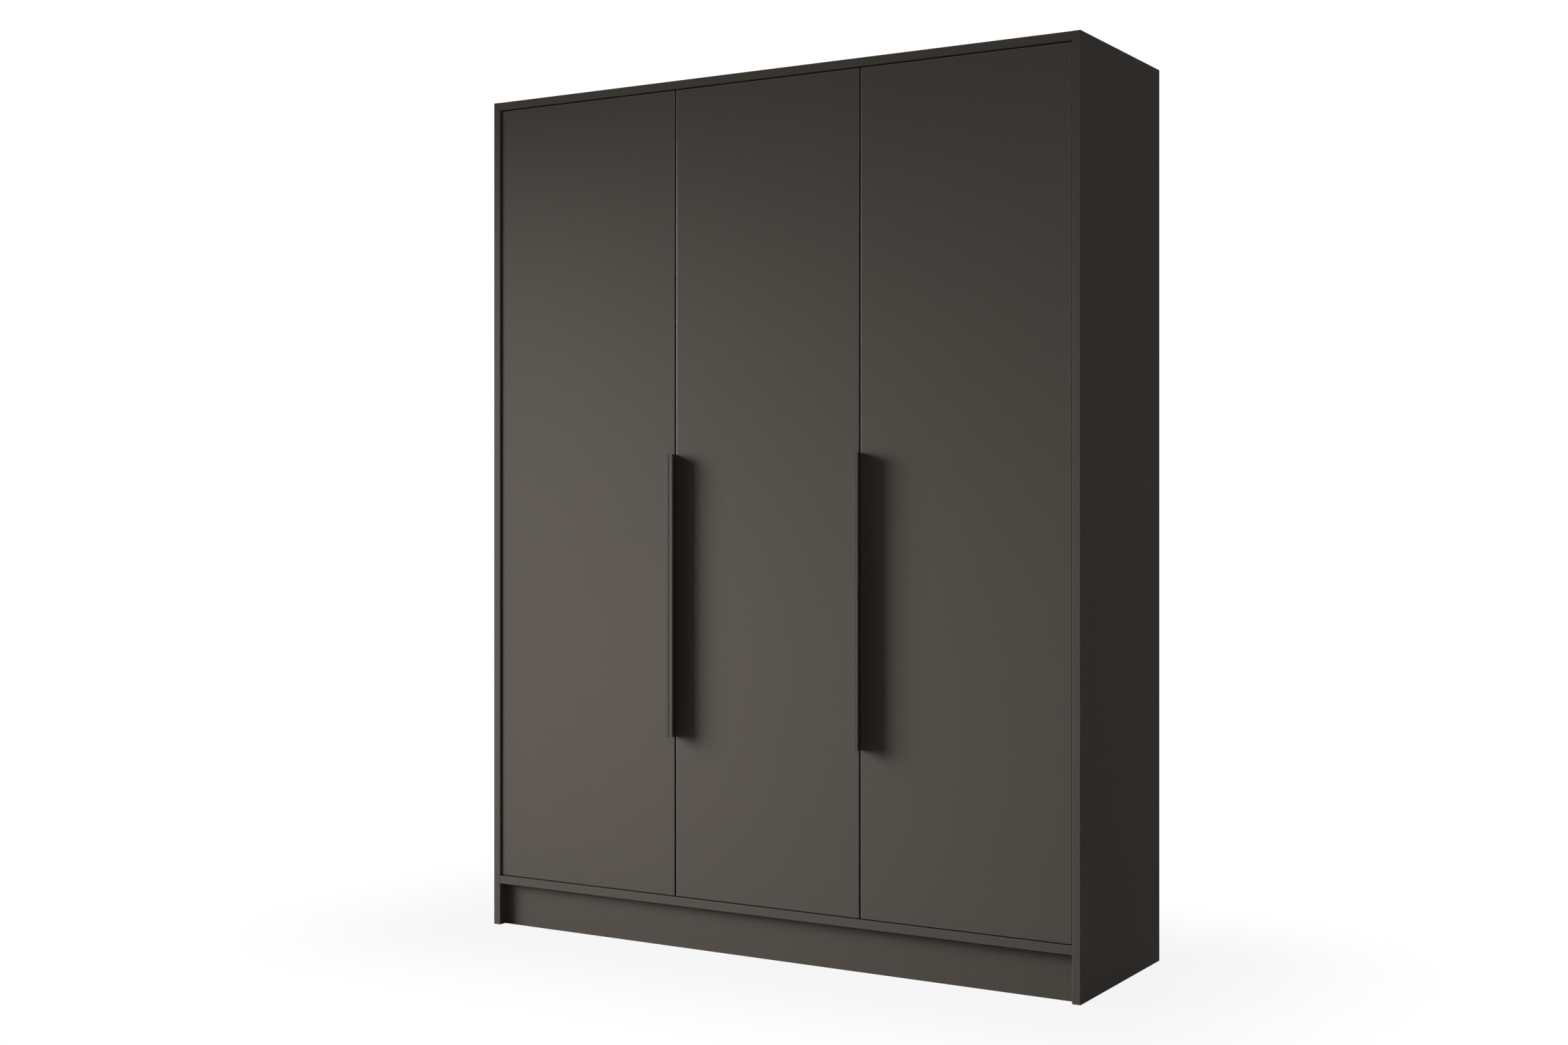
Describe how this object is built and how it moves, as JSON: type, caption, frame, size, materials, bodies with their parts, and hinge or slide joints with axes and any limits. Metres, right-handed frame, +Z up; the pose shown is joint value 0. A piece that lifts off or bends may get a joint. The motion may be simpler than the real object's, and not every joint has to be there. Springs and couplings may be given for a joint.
{
  "type": "wardrobe",
  "caption": "Wardrobe with inset hinged doors on concealed cup hinges, edge pulls, a recessed plinth, shelves and a hanging rail.",
  "frame": {"origin": "middle of the floor area under the whole wardrobe, pulls included, at floor height", "axes": "+Z up, doors face -Y, +X to the right of someone facing the doors"},
  "size_m": [1.53, 0.487, 2],
  "materials": {
    "laminate": "graphite melamine facing, matt",
    "door_laminate": "graphite melamine facing, matt, rounded edges",
    "hardboard": "lacquered fibreboard",
    "anodised": "powder-coated profile, matt graphite",
    "steel": "zinc-plated steel",
    "nickel": "nickel-plated steel",
    "zinc": "die-cast zinc",
    "beech": "raw beech",
    "stop_plastic": "moulded plastic",
    "rubber": "soft rubber"
  },
  "bodies": {
    "carcass": {"side_panel_left": "laminate", "side_panel_right": "laminate", "top_panel": "laminate", "bottom_panel": "laminate", "partition": "laminate", "plinth_front": "laminate", "plinth_rear": "laminate", "plinth_brace_left": "laminate", "plinth_brace_right": "laminate", "back_sheet_left": "hardboard", "back_sheet_right": "hardboard", "back_nails": "steel", "hat_shelf": "laminate", "fixed_shelf": "laminate", "loose_shelves": "laminate", "shelf_supports": "steel", "hanging_rail": "nickel", "rail_sockets": "zinc", "rail_screws": "steel", "cam_discs": "zinc", "cam_bolts": "steel", "dowels": "beech", "wall_brackets": "zinc", "wall_bracket_screws": "steel", "door_stops": "stop_plastic", "stop_pads": "rubber", "stop_screws": "steel", "hinge_arms_left": "nickel", "hinge_arms_middle": "nickel", "hinge_arms_right": "nickel", "hinge_plates": "nickel", "hinge_plate_screws": "steel", "hinge_arm_screws": "steel"},
    "door_left_leaf": {"door_left": "door_laminate", "handle_left": "anodised", "handle_screws_left": "steel", "hinge_cups_left": "nickel", "hinge_pins_left": "steel", "cup_screws_left": "steel"},
    "door_middle_leaf": {"door_middle": "door_laminate", "handle_middle": "anodised", "handle_screws_middle": "steel", "hinge_cups_middle": "nickel", "hinge_pins_middle": "steel", "cup_screws_middle": "steel"},
    "door_right_leaf": {"door_right": "door_laminate", "handle_right": "anodised", "handle_screws_right": "steel", "hinge_cups_right": "nickel", "hinge_pins_right": "steel", "cup_screws_right": "steel"}
  },
  "joints": [
    {"name": "door_left_swing", "type": "hinge", "parent": "carcass", "child": "door_left_leaf", "pos_m": [-0.732, -0.2075, 1.05], "axis": [0, 0, -1], "range_deg": [0, 95]},
    {"name": "door_middle_swing", "type": "hinge", "parent": "carcass", "child": "door_middle_leaf", "pos_m": [0.234, -0.2075, 1.05], "axis": [0, 0, 1], "range_deg": [0, 95]},
    {"name": "door_right_swing", "type": "hinge", "parent": "carcass", "child": "door_right_leaf", "pos_m": [0.732, -0.2075, 1.05], "axis": [0, 0, 1], "range_deg": [0, 95]}
  ]
}
